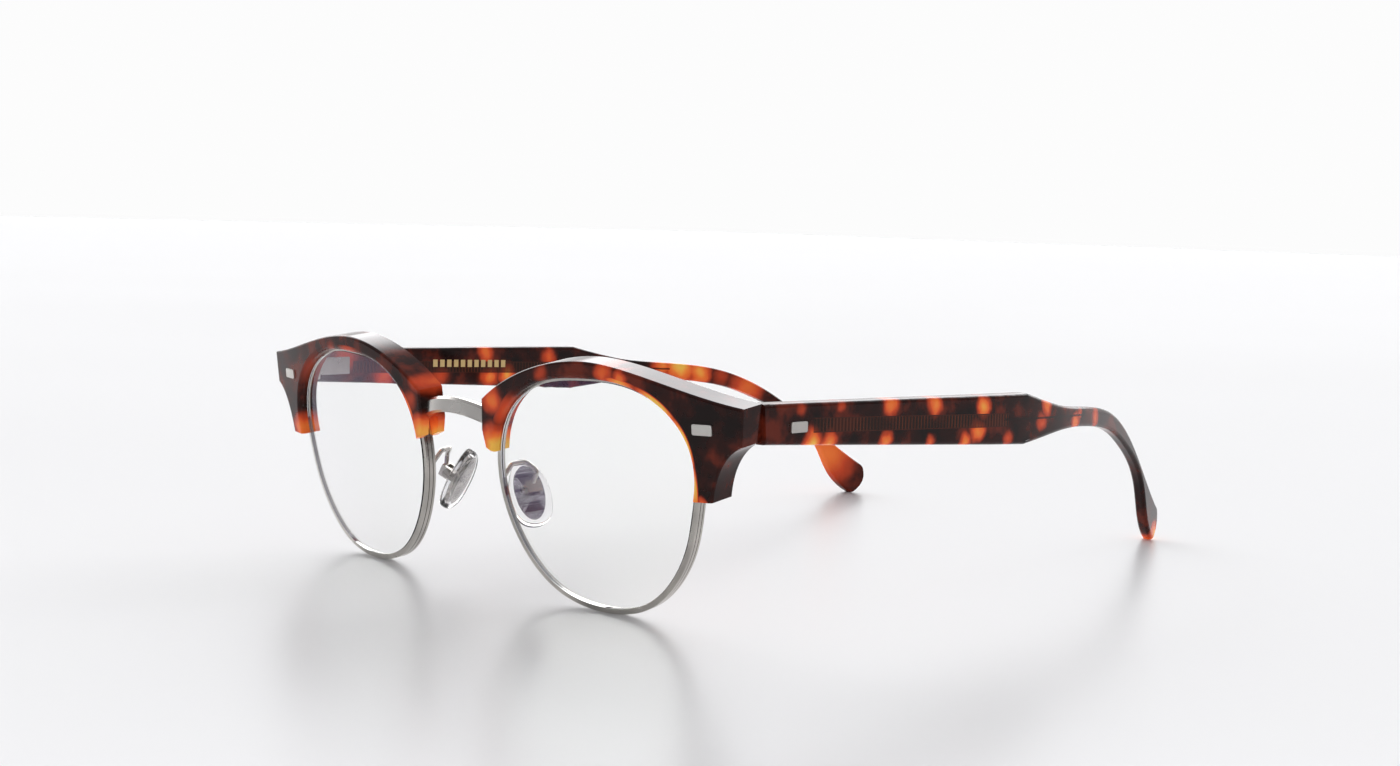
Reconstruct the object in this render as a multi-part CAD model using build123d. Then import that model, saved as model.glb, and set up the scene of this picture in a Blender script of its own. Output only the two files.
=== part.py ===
from build123d import *
from math import cos, radians, sin
import os

# Browline eyeglasses, standing open on their rims and temple tips.
# X runs across the face (the wearer's left is +X), -Y is the way the lenses
# face, +Z is up, and Z = 0 is the surface the glasses stand on. Millimetres.
# The left half is modelled and the right half is its mirror image.

# ---- driving dimensions -----------------------------------------------------
lens_x = 33.5           # centre of each lens from the middle
lens_z = 22.54          # height of the lens centre
front_y = -79.29        # front of the brow at the lens centre
tilt = 7.85             # the top of the front leans forward
wrap = 5.9              # the outer ends of the front sweep back
face_radius = 300.0     # curve of the whole front

brow_thick = 5.1        # front to back
brow_grip = 0.5         # how far the brow covers the rim wire
brow_round = 0.45       # rounding along the outer front edge
brow_lip = 0.85         # broader rounding beside the lens

rim_radii = (23.9, 24.3, 20.9, 18.8, 20.2, 22.5, 22.7, 22.6, 23.1, 23.1, 23.8, 23.4)
rim_radial = 1.0        # rim wire, across its section
rim_axial = 1.9         # rim wire, front to back
rim_depth = 1.7         # rim wire, behind the front of the brow

lens_radius = 200.0     # curve of the lens
lens_thick = 1.7
lens_depth = 1.15       # front of the lens at its centre
bevel_reach = 0.45      # tongue of the lens in the groove of the rim
bevel_thick = 0.6
fit = 0.02              # play round a seated piece

lock_at = (25.6, 3.0)   # closing block of the rim, in the plane of the lens
lock_size = (2.2, 1.4, 4.6)
lock_depth = 3.5

bridge_half = 13.0      # to its ends inside the brows
bridge_rise = 3.4       # its ends are lower than its crown
bridge_bow = 3.6        # its ends are further back than its crown
bridge_crown = (-2.2, 33.6)     # depth behind the front, height
bridge_high, bridge_deep = 2.9, 1.9

temple_x = 67.2         # outer face of the temple at the hinge
temple_round = 0.7
joint_gap = 0.15        # between the front and the end of the temple
tip_depth = 158.6       # where the temple tip touches the ground

hinge_at = (62.4, 10.75, 35.4)   # from the middle, behind the front, height
knuckle_r = 1.35
knuckle_h = 0.95
knuckle_pitch = 1.01
pin_r = 0.7
pin_play = 0.05         # running clearance of the hinge pin
knuckle_room = 0.2      # hollow in the temple round the knuckles

plaque_size = (3.9, 1.8)
plaque_proud = 0.3
plaque_deep = 0.5
front_plaque = (26.5, 11.5)     # on the brow, in the plane of the lens
temple_plaque = (17.2, 34.9)    # on the temple: behind the front, height
stud_r = 0.5
stud_half = 1.2         # each stud from the middle of its plaque

pad_at = (10.7, 8.2, 18.1)      # from the middle, behind the front, height
pad_size = (2.2, 7.6, 13.0)
pad_lean, pad_flare, pad_splay = 7.0, -28.0, -25.0
pad_pivot = 2.4         # pivot from the middle of the pad, outwards
lug_r = 0.75
lug_half = 0.72
ear_in, ear_out = 0.80, 1.35    # the ears that hold the pad's lug


# ---- helpers ----------------------------------------------------------------
def on_face(shape):
    """Move a shape from the frame of the left lens into that of the glasses."""
    return Pos(lens_x, front_y, lens_z) * Rot(tilt, 0, 0) * Rot(0, 0, wrap) * shape


def behind(x, depth, z):
    """A place given by its depth behind the front of the glasses."""
    return Pos(x, front_y + depth, z)


def shell(radius, depth, thick, centre_depth=0.0):
    """The layer between two depths of a curved front."""
    centre = Pos(0, centre_depth + radius, 0)
    return centre * (Sphere(radius - depth) - Sphere(radius - depth - thick))


def prism(face, reach=12):
    """An outline in the plane of the lens, run through front to back."""
    return extrude(Plane.XZ * face, reach, both=True)


def slab(face, depth, thick):
    """An outline in the plane of the lens, given the curve of the front."""
    return prism(face) & shell(face_radius, depth, thick)


def block(x, y, z):
    """A box given by its limits along each axis."""
    centre = Pos((x[0] + x[1]) / 2, (y[0] + y[1]) / 2, (z[0] + z[1]) / 2)
    return centre * Box(x[1] - x[0], y[1] - y[0], z[1] - z[0])


def screw(radius, length, head_r, head_h, slot_w):
    """A slotted screw along +Z, the underside of its head at the origin."""
    shank = Pos(0, 0, -length / 2) * Cylinder(radius, length)
    head = Pos(0, 0, head_h / 2) * Cylinder(head_r, head_h)
    slot = Pos(0, 0, head_h) * Box(3 * head_r, slot_w, head_h)
    return shank + head - slot


# ---- lens, rim wire and brow ------------------------------------------------
def rim_outline(inset=0):
    """The outline of the rim wire, drawn in by a given amount."""
    points = []
    for number, radius in enumerate(rim_radii):
        angle = radians(number * 360 / len(rim_radii))
        points.append(((radius - inset) * cos(angle), (radius - inset) * sin(angle)))
    return make_face(Spline(*points, periodic=True))


tongue_inset = rim_radial - bevel_reach
tongue_depth = lens_depth + (lens_thick - bevel_thick) / 2
lens = prism(rim_outline(rim_radial + fit)) & shell(lens_radius, 0, lens_thick, lens_depth)
lens += prism(rim_outline(tongue_inset)) & shell(lens_radius, 0, bevel_thick, tongue_depth)

groove = prism(rim_outline(tongue_inset - fit))
groove &= shell(lens_radius, 0, bevel_thick + 2 * fit, tongue_depth - fit)
wire_ring = prism(rim_outline()) - prism(rim_outline(rim_radial))
eyewire = (wire_ring & shell(face_radius, rim_depth, rim_axial)) - groove

nose_tip = (-21.2, 3.4)
nose_corner = (-24.0, 4.6)
nose_side = (-24.7, 7.6)
nose_top = (-24.3, 13.2)
end_top = (34.3, 15.2)
end_bottom = (33.7, 8.9)
leg_outer = (27.5, -0.6)
leg_inner = (20.0, -0.8)
nose_inner = (-19.0, 4.1)
brow_face = make_face([
    Line(nose_tip, nose_corner),
    Line(nose_corner, nose_side),
    Line(nose_side, nose_top),
    Spline(nose_top, (-18.5, 16.7), (-10.0, 19.9), (0.5, 21.4), (12.0, 20.0), (24.0, 17.2), end_top),
    Line(end_top, end_bottom),
    Spline(end_bottom, (31.2, 7.3), (28.6, 3.3), leg_outer),
    Line(leg_outer, leg_inner),
    Line(leg_inner, nose_inner),
    Line(nose_inner, nose_tip),
])
brow = slab(brow_face, 0, brow_thick)
# the edge along the top and down the outside of the leg is rounded before the rim
# is cut; the lip beside the lens is the longest edge that the cut leaves in front
front_edges = brow.faces().sort_by(Axis.Y)[0].edges()
upper_edges = [edge for edge in front_edges if edge.center().Z > 6 or edge.center().X > leg_outer[0]]
brow = fillet(upper_edges, brow_round)
brow -= prism(rim_outline(brow_grip))
lip_edge = brow.faces().sort_by(Axis.Y)[0].edges().sort_by(SortBy.LENGTH)[-1]
brow = fillet(lip_edge, brow_lip)
brow -= slab(rim_outline(-fit), rim_depth - fit, rim_axial + 2 * fit)
# the nose end is slotted, and the rim wire shows in the slot
fork = Pos(-24.0, 4.0) * Rectangle(8.0, 8.0)
brow -= slab(fork, rim_depth - fit, rim_axial + 2 * fit)

# ---- closing block of the rim, in a pocket at the back of the brow's leg ----
lock_back = lock_depth + lock_size[1]
lock_seat = Pos(lock_at[0], lock_back + 1.2, lock_at[1]) * Rot(-90, 0, 0)
lock_screw = lock_seat * screw(0.5, 1.6, 0.85, 0.4, 0.25)
rim_lock = Pos(lock_at[0], lock_depth + 1.2 + lock_size[1] / 2, lock_at[1]) * Box(*lock_size)
rim_lock -= lock_screw

# ---- bridge -----------------------------------------------------------------
arch = ThreePointArc((-bridge_half, -bridge_rise), (0, 0), (bridge_half, -bridge_rise))
bow = ThreePointArc((-bridge_half, bridge_bow), (0, 0), (bridge_half, bridge_bow))
bridge = extrude(Plane.XZ * trace(arch, bridge_high), 10, both=True)
bridge &= extrude(trace(bow, bridge_deep), 10, both=True)
bridge = chamfer([edge for edge in bridge.edges() if edge.length > bridge_half], 0.45)
bridge = behind(0, *bridge_crown) * bridge

# ---- temple -----------------------------------------------------------------
# outer face in plan: from the middle, depth behind the front, and thickness
temple_plan = (
    (temple_x, 6, 3.6), (temple_x - 0.2, 50, 3.6), (66.2, 82, 3.5), (62.8, 102, 3.1),
    (58.5, 118, 2.9), (52.4, 138, 2.7), (45.2, 160, 2.7), (43.5, 165, 2.7),
)


def temple_band(inset=0, thick=None, reach=50):
    """A band that follows the temple in plan, measured in from its outer face."""
    start, end = (0, 1), (-0.33, 0.94)
    outer = [(x - inset, depth) for x, depth, _ in temple_plan]
    inner = [(x - inset - (thick or full), depth) for x, depth, full in temple_plan]
    back = [(-x, -y) for x, y in (end, start)]
    plan = make_face([
        Spline(*outer, tangents=[start, end]),
        Line(outer[-1], inner[-1]),
        Spline(*inner[::-1], tangents=back),
        Line(inner[0], outer[0]),
    ])
    return behind(0, 0, 0) * extrude(plan, reach)


def temple_side(lines):
    """A side view, in depth behind the front and height, run across X."""
    return behind(0, 0, 0) * extrude(Plane.YZ * make_face(lines), 90)


paddle_top = (81.5, 37.7)
paddle_bottom = (81.0, 28.1)
heel = (161.0, 7.2)
tip = (tip_depth, 0)
neck_top = [(88.5, 36.0), (96, 34.5), (112, 33.1), (124, 31.0), (135, 26.2), (148, 16.9)]
neck_bottom = [(152.0, 6.8), (149.4, 12.0), (135.2, 22.9), (124, 27.3), (112, 29.2), (99, 29.8), (88, 28.9)]
temple = temple_band() & temple_side([
    Line((6, 39.1), paddle_top),
    Spline(paddle_top, *neck_top, heel),
    Spline(heel, (161.6, 3.4), tip),
    Spline(tip, *neck_bottom, paddle_bottom),
    Line(paddle_bottom, (6, 32.5)),
    Line((6, 32.5), (6, 39.1)),
])
temple = fillet(temple.edges().filter_by(lambda edge: edge.length > 12), temple_round)
back_of_front = Pos(0, face_radius, 0) * Sphere(face_radius - brow_thick - joint_gap)
temple &= on_face(back_of_front)

core_line = Spline((80, 33.0), (96, 32.1), (112, 31.2), (124, 29.1), (135, 24.5))
core = temple_band(1.1, 1.0) & temple_side([
    Line((21, 36.1), (80, 34.1)),
    Line((80, 34.1), (80, 31.9)),
    Line((80, 31.9), (21, 33.9)),
    Line((21, 33.9), (21, 36.1)),
])
tail = temple_band(1.1, 1.0) & (
    behind(0, 0, 0) * extrude(Plane.YZ * trace(core_line, 1.1), 90)
)
core += tail

# ---- temple hinge: three knuckles on the front, two on the temple ------------
hinge = behind(*hinge_at)
pin = hinge * screw(pin_r, 5 * knuckle_pitch, 1.1, 0.5, 0.3).moved(Pos(0, 0, 2.5 * knuckle_pitch))


def knuckles(numbers, hole_r, web_x, web_y):
    """Barrels of the hinge at the numbered levels, each with its web."""
    barrels = Part()
    for number in numbers:
        level = Pos(0, 0, number * knuckle_pitch)
        web = block(web_x, web_y, (-knuckle_h / 2, knuckle_h / 2))
        barrels += level * (Cylinder(knuckle_r, knuckle_h) + web)
    return hinge * (barrels - Cylinder(hole_r, 9))


front_plate = on_face(slab(Pos(27.3, 12.2) * Rectangle(7.0, 5.2), brow_thick - 0.6, 1.4))
front_hinge = front_plate + knuckles((-2, 0, 2), pin_r, (-0.9, 0.9), (-3.0, 0))

temple_plate = hinge * block((0.55, 2.1), (1.5, 9.0), (-1.8, 1.8))
temple_hinge = temple_plate + knuckles((-1, 1), pin_r + pin_play, (-0.2, 1.45), (0, 2.2))

# ---- plaques, each with two studs into its hinge plate ------------------------
front_rivet = slab(
    Pos(*front_plaque) * RectangleRounded(*plaque_size, 0.3), -plaque_proud, plaque_proud + plaque_deep
)
plaque_plane = Plane.YZ * Pos(*temple_plaque) * RectangleRounded(*plaque_size, 0.3)
temple_rivet = Pos(temple_x - plaque_deep, front_y, 0) * extrude(plaque_plane, plaque_deep + plaque_proud)
for side in (-stud_half, stud_half):
    hole = Pos(front_plaque[0] + side, front_plaque[1]) * Circle(stud_r)
    front_rivet += slab(hole, 0, brow_thick - 0.6)
    across = Plane.YZ * Pos(temple_plaque[0] + side, temple_plaque[1]) * Circle(stud_r)
    temple_rivet += Pos(hinge_at[0] + 2.1, front_y, 0) * extrude(across, temple_x - hinge_at[0] - 2.3)
front_rivet = on_face(front_rivet)

# ---- nose pad, in its own frame: thickness X, width Y, length Z --------------
pad_frame = behind(*pad_at) * Rot(0, 0, pad_splay) * Rot(0, pad_flare, 0) * Rot(pad_lean, 0, 0)
half_wide, half_long = pad_size[1] / 2, pad_size[2] / 2
pad_outline = [
    (0, half_long), (0.72 * half_wide, 0.6 * half_long), (half_wide, -0.3 * half_long),
    (0.6 * half_wide, -0.88 * half_long), (0, -half_long), (-0.6 * half_wide, -0.88 * half_long),
    (-half_wide, -0.3 * half_long), (-0.72 * half_wide, 0.6 * half_long),
]
pad_face = make_face(Spline(*pad_outline, periodic=True))
nose_pad = extrude(Plane.YZ * pad_face, pad_size[0] / 2, both=True)
nose_pad = fillet(nose_pad.edges(), 0.85)

plate = extrude(Plane.YZ * Ellipse(2.7, 5.2), 0.2, both=True)
lug = block((0, pad_pivot), (-lug_half, lug_half), (-lug_r, lug_r))
lug += Pos(pad_pivot, 0, 0) * Rot(90, 0, 0) * Cylinder(lug_r, 2 * lug_half)
pad_plate = plate + lug
pad_plate -= Pos(pad_pivot, 0, 0) * Rot(90, 0, 0) * Cylinder(0.45, 9)
nose_pad -= plate + lug

pad_box = block((1.6, 3.3), (-ear_out, ear_out), (-1.1, 1.1))
pad_box -= block((1.0, 3.3), (-ear_in, ear_in), (-2, 2))
pad_box += block((3.3, 3.9), (-ear_out, ear_out), (-1.1, 1.1))
pad_screw = Pos(pad_pivot, -ear_out, 0) * Rot(90, 0, 0) * screw(0.4, 2 * ear_out, 0.8, 0.45, 0.25)
pad_box -= pad_screw

nose_pad, pad_plate, pad_box, pad_screw = [
    pad_frame * shape for shape in (nose_pad, pad_plate, pad_box, pad_screw)
]

arm_start = on_face(Pos(-22.2, 4.2, -1.2)).position
arm_end = (pad_frame * Pos(3.6, 0, 0.6)).position
arm_path = FilletPolyline(
    arm_start,
    behind(10.9, 3.9, 23.7).position,
    behind(11.6, 6.4, 24.0).position,
    behind(13.7, 7.4, 22.6).position,
    arm_end,
    radius=0.9,
)
pad_arm = sweep(Plane(arm_start, z_dir=arm_path % 0) * Circle(0.45), arm_path)

# ---- seat every piece in its neighbours --------------------------------------
rim_plug = on_face(prism(rim_outline(), 9))
bridge -= rim_plug + mirror(rim_plug, Plane.YZ)
lens, eyewire, brow, rim_lock, lock_screw = [
    on_face(shape) for shape in (lens, eyewire, brow, rim_lock, lock_screw)
]
pad_arm -= eyewire
pad_arm -= pad_box
pad_arm = pad_arm.solids().sort_by(SortBy.VOLUME)[-1]    # without its end inside the rim
front_hinge -= pin
front_rivet -= front_hinge
brow -= bridge
for piece in (rim_lock, lock_screw, front_hinge, front_rivet):
    brow -= piece
core -= temple_hinge
temple -= hinge * Cylinder(knuckle_r + knuckle_room, 20)
for piece in (core, temple_hinge, temple_rivet):
    temple -= piece

left = {
    "brow": brow,
    "eyewire": eyewire,
    "lens": lens,
    "rim_lock": rim_lock,
    "lock_screw": lock_screw,
    "front_hinge": front_hinge,
    "front_rivet": front_rivet,
    "hinge_screw": pin,
    "pad_arm": pad_arm,
    "pad_box": pad_box,
    "pad_screw": pad_screw,
    "pad_plate": pad_plate,
    "nose_pad": nose_pad,
    "temple": temple,
    "temple_core": core,
    "temple_hinge": temple_hinge,
    "temple_rivet": temple_rivet,
}

os.makedirs("parts", exist_ok=True)
export_step(bridge, "parts/bridge.step")
for name, solid in left.items():
    export_step(solid, f"parts/{name}_left.step")
    export_step(mirror(solid, Plane.YZ), f"parts/{name}_right.step")
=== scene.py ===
import math

import bpy
from mathutils import Matrix, Vector

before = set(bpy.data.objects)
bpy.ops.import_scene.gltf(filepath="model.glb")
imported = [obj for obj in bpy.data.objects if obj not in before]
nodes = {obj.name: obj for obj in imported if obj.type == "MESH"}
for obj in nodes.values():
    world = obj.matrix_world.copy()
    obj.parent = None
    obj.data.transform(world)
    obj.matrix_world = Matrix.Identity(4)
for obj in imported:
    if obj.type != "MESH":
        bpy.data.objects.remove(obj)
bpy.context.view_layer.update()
scene = bpy.context.scene

# the lens centre and the lean of the front, as in the CAD frame, millimetres
LENS_X, FRONT_Y, LENS_Z = 33.5, -79.29, 22.54
TILT, WRAP = math.radians(7.85), math.radians(5.9)
FACE_RADIUS = 300.0     # curve of the front
# distance of the rim from the lens centre, every 30 degrees
RIM_RADII = (23.9, 24.3, 20.9, 18.8, 20.2, 22.5, 22.7, 22.6, 23.1, 23.1, 23.8, 23.4)

# the photograph's viewpoint, fitted to it
CAMERA_PLACE = (0.28680, -0.30235, 0.0690)      # metres
AZIMUTH, ELEVATION, ROLL = math.radians(45.307), math.radians(4.805), math.radians(1.682)
SENSOR_WIDTH, FOCAL_LENGTH = 36, 51.2807        # millimetres


# ---- camera -------------------------------------------------------------------
def make_camera():
    back = Vector((
        math.sin(AZIMUTH) * math.cos(ELEVATION),
        -math.cos(AZIMUTH) * math.cos(ELEVATION),
        math.sin(ELEVATION),
    ))
    right = (-back).cross(Vector((0, 0, 1))).normalized()
    up = right.cross(-back).normalized()
    turned_right = right * math.cos(ROLL) + up * math.sin(ROLL)
    turned_up = up * math.cos(ROLL) - right * math.sin(ROLL)
    camera = bpy.data.objects.new("camera", bpy.data.cameras.new("camera"))
    scene.collection.objects.link(camera)
    turn = Matrix((turned_right, turned_up, back)).transposed().to_4x4()
    camera.matrix_world = Matrix.Translation(CAMERA_PLACE) @ turn
    camera.data.sensor_width = SENSOR_WIDTH
    camera.data.lens = FOCAL_LENGTH
    camera.data.clip_start = 0.01
    camera.data.clip_end = 20
    scene.camera = camera


# ---- node helpers --------------------------------------------------------------
class Tree:
    """A small wrapper that makes and links shader nodes."""

    def __init__(self, tree):
        self.tree = tree

    def node(self, kind, **inputs):
        made = self.tree.nodes.new(kind)
        for name, value in inputs.items():
            self.set(made, name.replace("_", " "), value)
        return made

    def set(self, made, socket, value):
        target = made.inputs[socket]
        if isinstance(value, bpy.types.NodeSocket):
            self.tree.links.new(value, target)
        else:
            target.default_value = value

    def math(self, operation, a, b=0.0, clamp=False):
        made = self.tree.nodes.new("ShaderNodeMath")
        made.operation = operation
        made.use_clamp = clamp
        self.set(made, 0, a)
        self.set(made, 1, b)
        return made.outputs[0]

    def ramp(self, value, stops, interpolation="LINEAR"):
        made = self.tree.nodes.new("ShaderNodeValToRGB")
        made.color_ramp.interpolation = interpolation
        elements = made.color_ramp.elements
        while len(elements) < len(stops):
            elements.new(0.5)
        for element, (place, colour) in zip(elements, stops):
            element.position = place
            element.color = (*colour, 1)
        self.tree.links.new(value, made.inputs[0])
        return made.outputs[0]

    def grey_ramp(self, value, low, high):
        """A grey that goes from low to high while the value goes from 0.3 to 0.7."""
        return self.ramp(value, [(0.3, (low,) * 3), (0.7, (high,) * 3)])

    def noise(self, vector, scale, detail=2.0, roughness=0.5):
        made = self.node(
            "ShaderNodeTexNoise", Vector=vector, Scale=scale, Detail=detail, Roughness=roughness,
        )
        return made.outputs["Fac"]

    def mix(self, factor, a, b):
        """A mix of two colours. Inputs 6 and 7 and output 2 are the node's colour sockets."""
        made = self.tree.nodes.new("ShaderNodeMix")
        made.data_type = "RGBA"
        self.set(made, 0, factor)
        self.set(made, 6, a if isinstance(a, bpy.types.NodeSocket) else (*a, 1))
        self.set(made, 7, b if isinstance(b, bpy.types.NodeSocket) else (*b, 1))
        return made.outputs[2]

    def bump(self, height, strength, distance):
        made = self.node("ShaderNodeBump", Strength=strength, Distance=distance)
        self.tree.links.new(height, made.inputs["Height"])
        return made.outputs["Normal"]

    def metres(self):
        """Coordinates in the object's own frame, which is the CAD frame in metres."""
        return self.tree.nodes.new("ShaderNodeTexCoord").outputs["Object"]

    def millimetres(self):
        made = self.node("ShaderNodeMapping", Vector=self.metres(), Scale=(1000, 1000, 1000))
        return made.outputs[0]

    def vector(self, operation, a, b):
        made = self.tree.nodes.new("ShaderNodeVectorMath")
        made.operation = operation
        self.set(made, 0, a)
        self.set(made, 1, b)
        return made.outputs["Value"] if operation in ("DISTANCE", "DOT_PRODUCT") else made.outputs[0]

    def fade(self, value, start, end, low=0.0, high=1.0):
        """Goes smoothly from low to high while the value goes from start to end."""
        made = self.tree.nodes.new("ShaderNodeMapRange")
        made.interpolation_type = "SMOOTHSTEP"
        for socket, number in enumerate((value, start, end, low, high)):
            self.set(made, socket, number)
        return made.outputs[0]

    def near(self, value, middle, reach):
        """One within a reach of the middle, and nought elsewhere."""
        made = self.tree.nodes.new("ShaderNodeMath")
        made.operation = "COMPARE"
        for socket, number in enumerate((value, middle, reach)):
            self.set(made, socket, number)
        return made.outputs[0]

    def between(self, value, start, end):
        return self.near(value, (start + end) / 2, (end - start) / 2)

    def axes(self, vector):
        made = self.tree.nodes.new("ShaderNodeSeparateXYZ")
        self.tree.links.new(vector, made.inputs[0])
        return made.outputs


def new_material(name):
    material = bpy.data.materials.new(name)
    material.use_nodes = True
    shader = material.node_tree.nodes["Principled BSDF"]
    return material, Tree(material.node_tree), shader


# ---- tortoise acetate -----------------------------------------------------------
# Light patches of the sheet: two coordinates in it and a radius, in millimetres, and a warmth. They are
# the amber of the tortoise pattern, made brighter as painted glow of light coming through the acetate, as
# at the bottom of the nose ends.
# On a brow the coordinates are outwards and up from the lens centre, and on a temple
# they are the depth behind the front and the height.
NEAR_BROW = (
    (-21.5, 13, 4, 0.6), (-21.5, 4, 6, 1.0), (-15.5, 12.5, 2.5, 0.5), (-8.5, 19, 3, 0.3),
    (6, 20, 3, 0.5), (9.5, 19, 2.5, 0.6), (25.5, -0.5, 1.5, 0.5),
)
# patches where the lip by the rim gets a band of painted glow, light coming through the thin acetate
NEAR_LIP_BACKLIGHT = ((9.5, 19, 5, 0.8), (17.5, 16, 7, 1.0), (23, 10, 7, 1.0), (24, 2, 6, 0.9), (-17, 10, 6, 0.6))
FAR_BROW = (
    (24, 1, 4.5, 0.65), (16, 2, 4, 0.6), (-24, 15.5, 4.5, 0.5), (-24, 5, 5, 0.85),
    (-21.5, 11, 3.5, 0.3), (7, 18.5, 3.5, 0.25),
)
# patches where the lip by the rim gets a band of painted glow
FAR_LIP_BACKLIGHT = ((-22, 10, 6, 0.6), (15, 10, 9, 0.5), (0, 19, 6, 0.35))
NEAR_TEMPLE = (
    (41, 37.5, 3, 0.65), (53, 37, 3, 0.7), (67, 36, 3, 0.8), (21, 32, 3.5, 0.9), (25, 31.5, 3, 0.75),
    (40, 31.5, 2.5, 0.7), (52, 30.5, 2, 0.5), (62, 30, 2.5, 0.7), (65.5, 31.5, 3, 0.7),
    (75, 29.5, 2.5, 0.45), (89, 35, 3, 0.65), (87, 32, 3, 0.45), (102, 31, 3, 0.65),
    (104, 32.5, 2, 0.4), (113, 31, 3, 0.5), (18, 38, 2, 0.3), (28, 38, 2, 0.35), (160, 1, 4.5, 0.85),
)
FAR_TEMPLE = (
    (56, 37, 3.5, 0.6), (74, 35.5, 3.5, 0.5), (57, 31.5, 3.5, 0.7), (62, 32, 3.5, 0.8),
    (43, 32, 4, 0.4), (106, 33, 4.5, 0.7), (111, 32.5, 6, 0.95), (116, 31, 4.5, 0.8),
    (122, 30, 4.5, 0.3), (129, 27.5, 7, 0.55), (151, 10, 12, 0.65), (29, 32.5, 4.5, 0.45),
    (19, 37, 5, 0.35),
)
PATCH_SPREAD = 1.15     # a patch fades out at this share of its radius
PATCH_WARP = 2.4        # how much the noise bends the sheet, millimetres
PAINTED_GLOW = 0.3              # painted glow: emission that stands in for light coming through the acetate


def brow_sheet(tree, side):
    """Coordinates outwards and up from the lens centre, in the plane of the lens."""
    across, _, up = tree.axes(tree.millimetres())
    out = tree.math("SUBTRACT", tree.math("MULTIPLY", across, side), LENS_X)
    out = tree.math("DIVIDE", out, math.cos(WRAP))
    return out, tree.math("DIVIDE", tree.math("SUBTRACT", up, LENS_Z), math.cos(TILT))


def temple_sheet(tree):
    """Depth behind the front and height."""
    _, along, up = tree.axes(tree.millimetres())
    return tree.math("SUBTRACT", along, FRONT_Y), up


def warmth(tree, place, patches):
    """The warmest of the light patches at a place."""
    total = 0.0
    for first, second, radius, heat in patches:
        away = tree.vector("DISTANCE", place, (first, second, 0))
        total = tree.math("MAXIMUM", total, tree.fade(away, PATCH_SPREAD * radius, 0.0, 0.0, heat))
    return total


BAND_FULL, BAND_END = 0.5, 1.1      # the band of painted glow on the brow's lip along the rim
LARGEST_RADIUS = 30.0               # the radii are scaled to fit a colour ramp


def backlit_band_by_rim(tree, out, up):
    """A band of the brow, about 1 mm wide, along the rim, where the glow of light through the thin lip is
    painted.
    """
    turn = tree.math("DIVIDE", tree.math("ARCTAN2", up, out), 2 * math.pi)
    # the third input is the lower end, so the share of a full turn goes from 0 to 1
    turn = tree.math("WRAP", turn, 1.0)
    turn.node.inputs[2].default_value = 0.0
    count = len(RIM_RADII)
    stops = [(step / count, (RIM_RADII[step % count] / LARGEST_RADIUS,) * 3) for step in range(count + 1)]
    contour = tree.math("MULTIPLY", tree.ramp(turn, stops, "CARDINAL"), LARGEST_RADIUS)
    away = tree.math("SQRT", tree.math("ADD", tree.math("POWER", up, 2.0), tree.math("POWER", out, 2.0)))
    return tree.fade(tree.math("SUBTRACT", away, contour), BAND_END, BAND_FULL)


def tortoise(tree, first, second, patches, backlit_lip=()):
    """Dark tortoise: brown-black with red-brown clouds and light amber patches, brightened with painted
    glow.
    """
    place = tree.node("ShaderNodeCombineXYZ", X=first, Y=second).outputs[0]
    bend = tree.node("ShaderNodeTexNoise", Vector=tree.millimetres(), Scale=0.28)
    shift = tree.vector("SUBTRACT", bend.outputs["Color"], (0.5, 0.5, 0.5))
    shift = tree.vector("MULTIPLY", shift, (PATCH_WARP, PATCH_WARP, 0.0))
    warped = tree.vector("ADD", place, shift)
    heat = warmth(tree, warped, patches)
    # painted glow: a warm band along the lip by the rim, where its patches reach
    if backlit_lip:
        edge = tree.math("MULTIPLY", warmth(tree, place, backlit_lip), backlit_band_by_rim(tree, first, second))
        heat = tree.math("MAXIMUM", heat, edge)
    clouds = tree.noise(tree.millimetres(), 0.16, detail=3, roughness=0.55)
    body = tree.ramp(clouds, [
        (0.36, (0.0080, 0.0025, 0.0020)),
        (0.50, (0.030, 0.0050, 0.0030)),
        (0.64, (0.130, 0.017, 0.007)),
    ])
    # amber pattern, with its upper end raised to pale yellow as painted glow of light coming through
    warm = tree.ramp(heat, [
        (0.12, (0.14, 0.017, 0.007)),
        (0.40, (0.62, 0.065, 0.018)),
        (0.66, (1.00, 0.21, 0.040)),
        (0.92, (1.00, 0.55, 0.090)),
    ])
    return tree.mix(tree.fade(heat, 0.0, 0.30), body, warm)


def polish(tree, shader, colour):
    """The gloss of buffed acetate, slightly uneven, with a painted glow that stands in for light let
    through.
    """
    tree.set(shader, "Base Color", colour)
    # painted glow: the acetate's own colour is emitted
    tree.set(shader, "Emission Color", colour)
    shader.inputs["Emission Strength"].default_value = PAINTED_GLOW
    ripple = tree.noise(tree.millimetres(), 0.12, detail=1)
    tree.set(shader, "Roughness", tree.grey_ramp(ripple, 0.07, 0.12))
    tree.set(shader, "Normal", tree.bump(ripple, 0.04, 0.0004))
    shader.inputs["IOR"].default_value = 1.45
    shader.inputs["Specular IOR Level"].default_value = 0.30


def brow_material(name, patches, backlit_lip, side):
    material, tree, shader = new_material(name)
    polish(tree, shader, tortoise(tree, *brow_sheet(tree, side), patches, backlit_lip))
    return material


CORE_FROM, CORE_TO = 21.0, 75.0     # ribbed length of the core, behind the front
CORE_LEVEL, CORE_SLOPE = 35.0, 0.0356   # height at its front end, and how it falls towards the back
CORE_HALF, CORE_EDGE = 1.1, 0.15    # half its height, and the thin line round it
RIB_PITCH = 0.86
TAIL_FROM, TAIL_TO = 74.0, 108.0    # plain round wire behind the ribs
TAIL_LEVEL, TAIL_HALF = 35.1, 0.2
DASH_FROM, DASH_TO, DASH_PITCH = 41.0, 62.0, 1.9
DASH_LEVEL, DASH_HALF = 35.8, 0.8
DASH_REACH = 0.32                   # half a dash, as a share of the pitch
INNER_FACE = 64.2                   # the dashes are on what is nearer the middle than this


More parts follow.
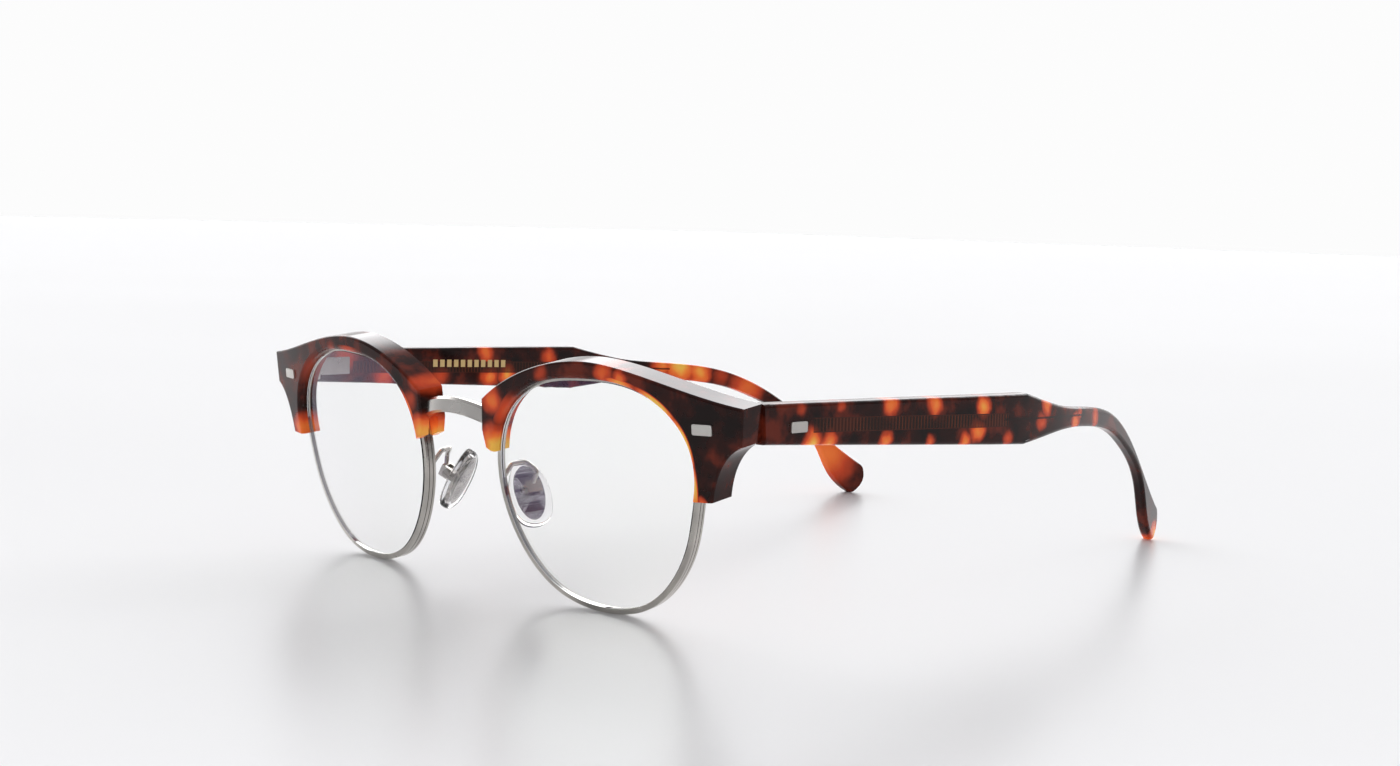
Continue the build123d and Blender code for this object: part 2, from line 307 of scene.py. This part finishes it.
def temple_material(name, patches):
    """Tortoise with the ribbed core showing through and gold dashes inside."""
    material, tree, shader = new_material(name)
    depth, height = temple_sheet(tree)
    colour = tortoise(tree, depth, height, patches)
    fall = tree.math("MULTIPLY", tree.math("SUBTRACT", depth, CORE_FROM), CORE_SLOPE)
    level = tree.math("ADD", height, fall)
    length = tree.between(depth, CORE_FROM, CORE_TO)
    core = tree.math("MULTIPLY", tree.near(level, CORE_LEVEL, CORE_HALF), length)
    edge = tree.math("MULTIPLY", tree.near(level, CORE_LEVEL, CORE_HALF + CORE_EDGE), length)
    edge = tree.math("SUBTRACT", edge, core, clamp=True)
    ribs = tree.math("SINE", tree.math("MULTIPLY", depth, 2 * math.pi / RIB_PITCH))
    seen = tree.fade(tree.noise(tree.millimetres(), 0.09, detail=1), 0.35, 0.6, 0.25, 1.0)
    rib = tree.math("MULTIPLY", tree.fade(ribs, -0.2, 0.8), seen)
    tail = tree.near(level, TAIL_LEVEL, TAIL_HALF)
    tail = tree.math("MULTIPLY", tail, tree.between(depth, TAIL_FROM, TAIL_TO))
    colour = tree.mix(tree.math("MULTIPLY", core, 0.75), colour, (0.020, 0.007, 0.004))
    colour = tree.mix(tree.math("MULTIPLY", core, rib), colour, (0.10, 0.024, 0.011))
    colour = tree.mix(edge, colour, (0.055, 0.014, 0.008))
    colour = tree.mix(tree.math("MULTIPLY", tail, 0.8), colour, (0.012, 0.004, 0.003))

    across = tree.axes(tree.millimetres())[0]
    inside = tree.math("LESS_THAN", tree.math("ABSOLUTE", across), INNER_FACE)
    row = tree.between(depth, DASH_FROM, DASH_TO)
    dash = tree.math("LESS_THAN", tree.math("PINGPONG", depth, DASH_PITCH / 2), DASH_REACH * DASH_PITCH)
    dash = tree.math("MULTIPLY", dash, tree.near(level, DASH_LEVEL, DASH_HALF))
    dash = tree.math("MULTIPLY", tree.math("MULTIPLY", dash, row), inside)
    polish(tree, shader, tree.mix(dash, colour, (0.62, 0.44, 0.20)))
    return material


# ---- metal, glass and silicone ----------------------------------------------------
def metal(name, colour, roughness, low=0.82):
    """Plated metal with a fine grain and slight tarnish in its gloss."""
    material, tree, shader = new_material(name)
    place = tree.millimetres()
    grain = tree.noise(place, 1.5, detail=2)
    cloud = tree.noise(place, 0.22, detail=3)
    tone = tree.ramp(cloud, [(0.35, tuple(c * low for c in colour)), (0.65, colour)])
    tree.set(shader, "Base Color", tone)
    tree.set(shader, "Roughness", tree.grey_ramp(cloud, roughness * 0.7, roughness * 1.3))
    tree.set(shader, "Normal", tree.bump(grain, 0.25, 0.00002))
    shader.inputs["Metallic"].default_value = 1.0
    return material, tree, shader, tone


GROOVE_SHADE_DEPTHS, GROOVE_SHADE_HALF = (2.25, 3.05), 0.09   # painted shade of two grooves, dark lines at these depths behind the face of the front


def rim_metal(side):
    """Silver rim wire with painted shade of two fine grooves, dark lines that run round it."""
    name = "rim_silver_near" if side > 0 else "rim_silver_far"
    material, tree, shader, tone = metal(name, (0.72, 0.69, 0.64), 0.22)
    turn = Matrix.Rotation(TILT, 4, "X") @ Matrix.Rotation(WRAP, 4, "Z")
    middle = Vector((LENS_X, FRONT_Y, LENS_Z)) + turn @ Vector((0, FACE_RADIUS, 0))
    middle.x *= side
    away = tree.vector("DISTANCE", tree.millimetres(), tuple(middle))
    depth = tree.math("SUBTRACT", FACE_RADIUS, away)
    groove_shade = [tree.near(depth, groove, GROOVE_SHADE_HALF) for groove in GROOVE_SHADE_DEPTHS]
    # painted shade: the two groove lines darken the silver
    tree.set(shader, "Base Color", tree.mix(tree.math("MAXIMUM", *groove_shade), tone, (0.16, 0.145, 0.13)))
    return material


def lens_glass():
    material, tree, shader = new_material("lens_coated")
    film = tree.noise(tree.metres(), 40, detail=1)
    tone = tree.ramp(film, [(0.3, (0.985, 0.985, 0.995)), (0.7, (0.995, 0.99, 1.0))])
    tree.set(shader, "Base Color", tone)
    tree.set(shader, "Roughness", tree.grey_ramp(film, 0.0, 0.01))
    shader.inputs["Transmission Weight"].default_value = 1.0
    shader.inputs["IOR"].default_value = 1.5
    shader.inputs["Specular IOR Level"].default_value = 0.9
    shader.inputs["Specular Tint"].default_value = (0.50, 0.24, 0.80, 1)
    return material


def silicone():
    material, tree, shader = new_material("pad_silicone")
    haze = tree.noise(tree.metres(), 400, detail=2)
    tone = tree.ramp(haze, [(0.3, (0.95, 0.94, 0.95)), (0.7, (0.99, 0.985, 0.99))])
    tree.set(shader, "Base Color", tone)
    tree.set(shader, "Roughness", tree.grey_ramp(haze, 0.04, 0.10))
    tree.set(shader, "Normal", tree.bump(haze, 0.06, 0.0001))
    shader.inputs["Transmission Weight"].default_value = 1.0
    shader.inputs["IOR"].default_value = 1.41
    return material


silver = metal("silver_plate", (0.78, 0.75, 0.71), 0.22)[0]
satin = metal("satin_steel", (0.70, 0.68, 0.66), 0.32)[0]
core_steel = metal("core_steel", (0.45, 0.36, 0.28), 0.35)[0]
plate_steel = metal("pad_plate_steel", (0.34, 0.30, 0.42), 0.22, 0.6)[0]
plaque = metal("plaque_silver", (0.90, 0.87, 0.82), 0.38, 0.95)[0]
coated = lens_glass()
clear_silicone = silicone()

finishes = {
    "brow_left": brow_material("brow_near", NEAR_BROW, NEAR_LIP_BACKLIGHT, 1),
    "brow_right": brow_material("brow_far", FAR_BROW, FAR_LIP_BACKLIGHT, -1),
    "temple_left": temple_material("temple_near", NEAR_TEMPLE),
    "temple_right": temple_material("temple_far", FAR_TEMPLE),
    "eyewire_left": rim_metal(1), "eyewire_right": rim_metal(-1),
    "bridge": silver, "lens": coated, "nose_pad": clear_silicone, "pad_plate": plate_steel,
    "temple_core": core_steel, "front_rivet": plaque, "temple_rivet": plaque,
    # painted reflection: the far pad's plate gets the light silver, not plate_steel, for the white it
    # reflects
    "pad_arm": silver, "pad_box": silver, "pad_plate_right": silver,
}
for name, piece in nodes.items():
    base = name.removesuffix("_left").removesuffix("_right")
    piece.data.materials.clear()
    piece.data.materials.append(finishes.get(name) or finishes.get(base, satin))


# ---- stage ---------------------------------------------------------------------
FLOOR_REACH = 6.0


def make_floor():
    material, tree, shader = new_material("floor_gloss")
    shade = tree.noise(tree.metres(), 3, detail=1)
    tone = tree.ramp(shade, [(0.3, (0.80, 0.80, 0.805)), (0.7, (0.815, 0.815, 0.82))])
    tree.set(shader, "Base Color", tone)
    shader.inputs["Specular IOR Level"].default_value = 0.3
    tree.set(shader, "Roughness", tree.grey_ramp(shade, 0.29, 0.32))
    mesh = bpy.data.meshes.new("floor")
    signs = ((-1, -1), (1, -1), (1, 1), (-1, 1))
    corners = [(x * FLOOR_REACH, y * FLOOR_REACH, 0) for x, y in signs]
    mesh.from_pydata(corners, [], [(0, 1, 2, 3)])
    floor = bpy.data.objects.new("floor", mesh)
    floor.data.materials.append(material)
    scene.collection.objects.link(floor)


def make_light(name, place, aim, size, power):
    """A rectangular lamp at a place, turned to what it is aimed at."""
    light = bpy.data.lights.new(name, "AREA")
    light.shape = "RECTANGLE"
    light.size, light.size_y = size
    light.energy = power
    lamp = bpy.data.objects.new(name, light)
    scene.collection.objects.link(lamp)
    lamp.location = place
    lamp.rotation_euler = (Vector(place) - Vector(aim)).to_track_quat("Z", "Y").to_euler()


BACKDROP_SIDE = (-0.71, 0.71, 0)


def make_world():
    """A white backdrop with a softbox over it, behind the glasses, and a darker room round them.

    These light the scene, and the camera itself sees plain near-white.
    """
    world = bpy.data.worlds.new("studio")
    scene.world = world
    world.use_nodes = True
    tree = Tree(world.node_tree)
    plain = world.node_tree.nodes["Background"]
    plain.inputs["Color"].default_value = (0.975, 0.975, 0.975, 1)
    toward = world.node_tree.nodes.new("ShaderNodeTexCoord").outputs["Generated"]
    backdrop = tree.vector("DOT_PRODUCT", toward, BACKDROP_SIDE)
    low = tree.ramp(tree.fade(backdrop, 0.1, 0.75), [(0, (0.16, 0.16, 0.17)), (1, (0.97, 0.97, 0.97))])
    rise = tree.axes(toward)[2]
    room = tree.mix(tree.fade(rise, 0.15, 0.5), low, (0.34, 0.34, 0.35))
    softbox = tree.math("MULTIPLY", tree.fade(backdrop, 0.35, 0.65), tree.fade(rise, 0.20, 0.32))
    softbox = tree.math("MULTIPLY", softbox, tree.fade(rise, 0.75, 0.55))
    room = tree.mix(softbox, room, (3.9, 3.9, 3.95))
    soft = tree.node("ShaderNodeBackground", Color=room, Strength=1.0)
    path = world.node_tree.nodes.new("ShaderNodeLightPath")
    pick = world.node_tree.nodes.new("ShaderNodeMixShader")
    world.node_tree.links.new(path.outputs["Is Camera Ray"], pick.inputs[0])
    world.node_tree.links.new(soft.outputs[0], pick.inputs[1])
    world.node_tree.links.new(plain.outputs[0], pick.inputs[2])
    world.node_tree.links.new(pick.outputs[0], world.node_tree.nodes["World Output"].inputs[0])


make_camera()
make_floor()
make_world()
make_light("top_soft", (-0.1, 0.3, 1.6), (0, 0, 0), (2.4, 2.0), 1.2)
scene.view_settings.view_transform = "Standard"
